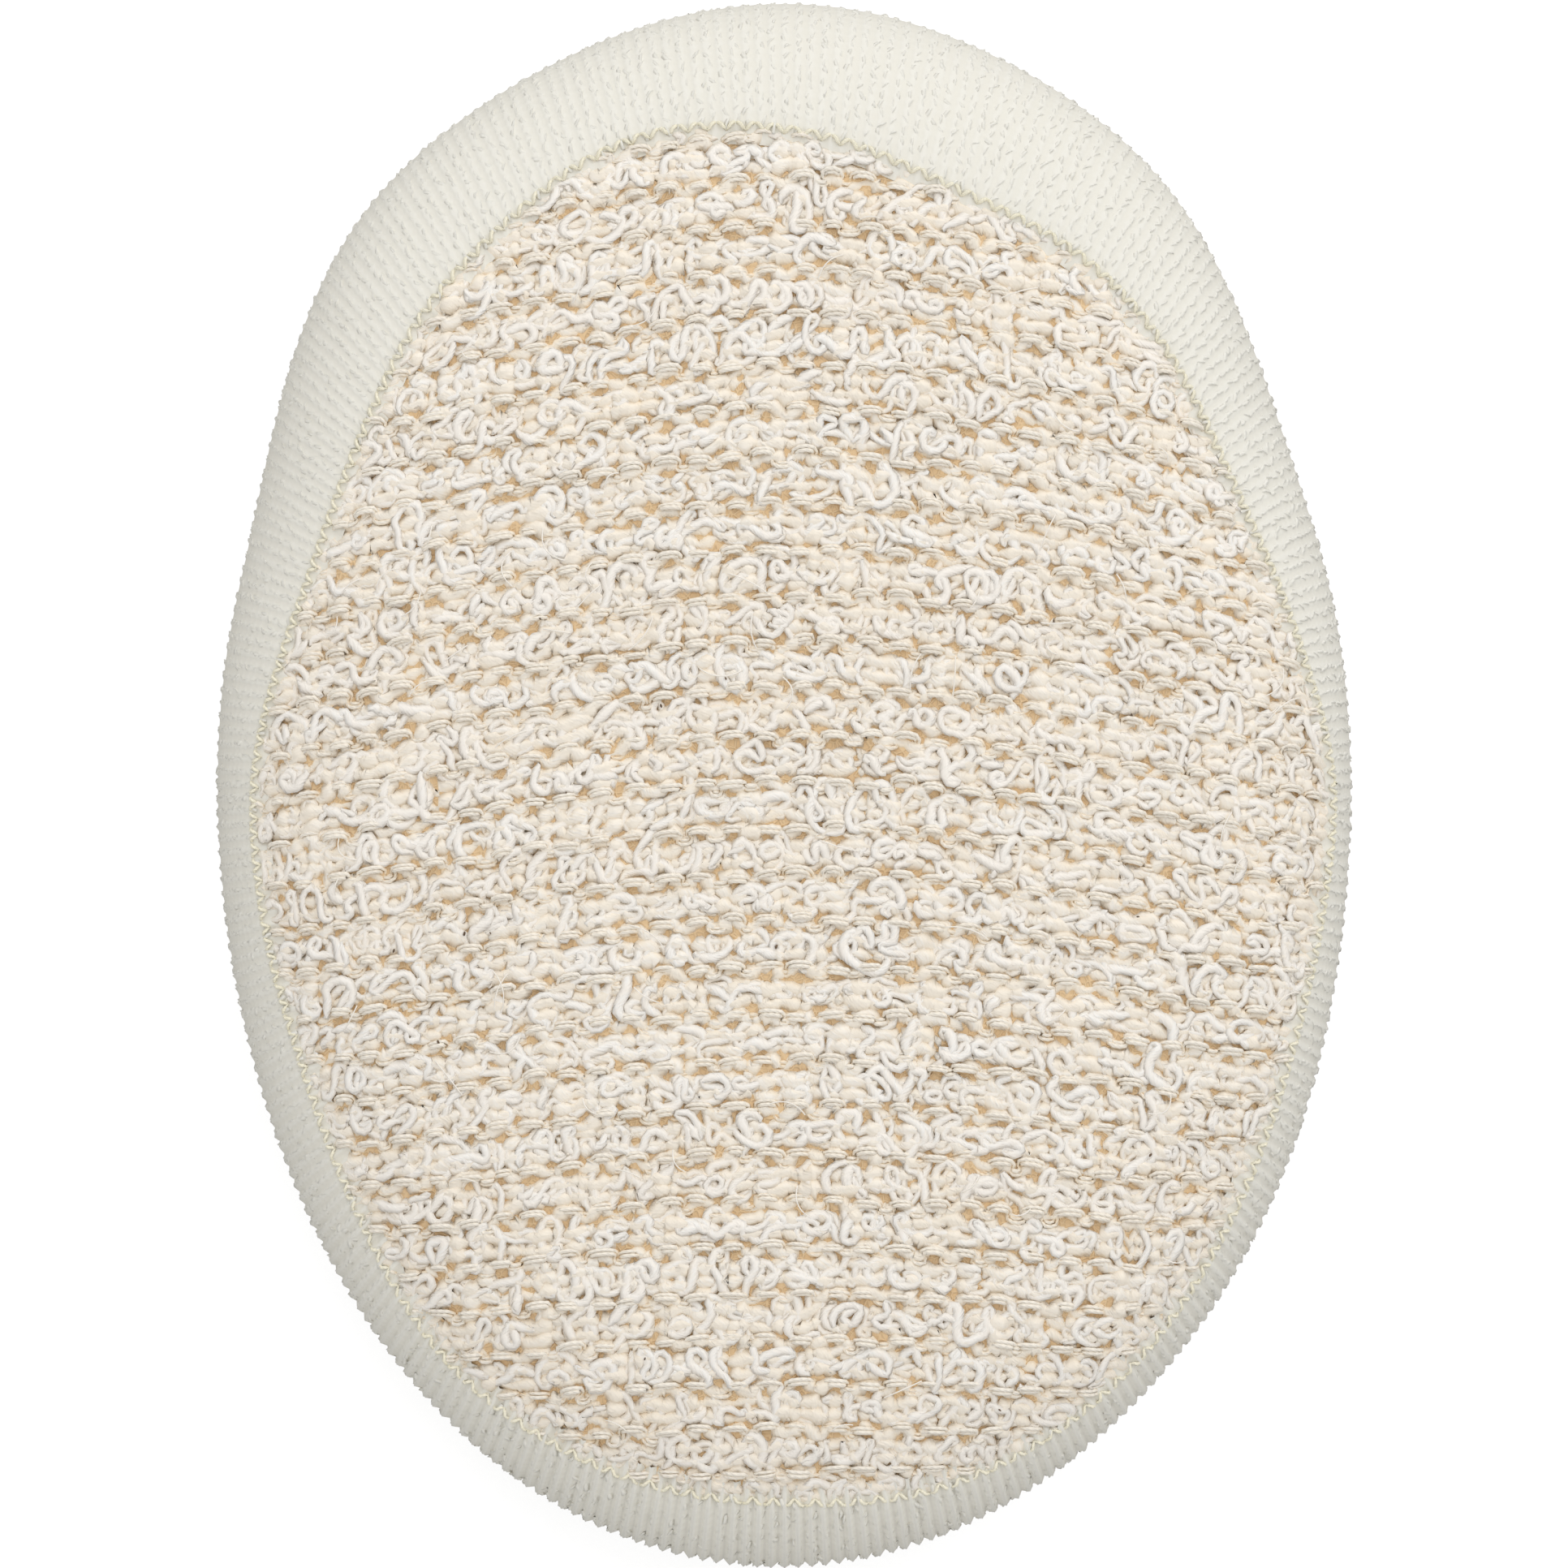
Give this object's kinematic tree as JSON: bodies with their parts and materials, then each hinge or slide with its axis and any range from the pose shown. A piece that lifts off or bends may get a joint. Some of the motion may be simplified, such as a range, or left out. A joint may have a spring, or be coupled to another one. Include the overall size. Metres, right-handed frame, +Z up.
{
  "type": "oval bath scrubber pad",
  "caption": "Oval foam bath scrubber pad with a rough knitted cotton face, a soft terry border and a terry back.",
  "frame": {"origin": "middle of the pad's footprint, on the surface that it lies on", "axes": "+Z up out of the knitted face, +Y along the pad's length to the end with the wide border, +X to the right seen from above"},
  "size_m": [0.12, 0.1651, 0.03],
  "materials": {
    "foam": "matte open-cell foam, honey tan",
    "cotton_knit": "matte natural cotton, rows of smooth two-strand yarn and curly boucle yarn",
    "terry": "matte ivory cotton terry with small knitted loops",
    "thread": "matte ivory cotton thread"
  },
  "bodies": {
    "root": {"foam_core": "foam", "face_panel": "cotton_knit", "terry_border": "terry", "back_panel": "terry", "front_seam": "thread", "back_seam": "thread"}
  },
  "joints": []
}
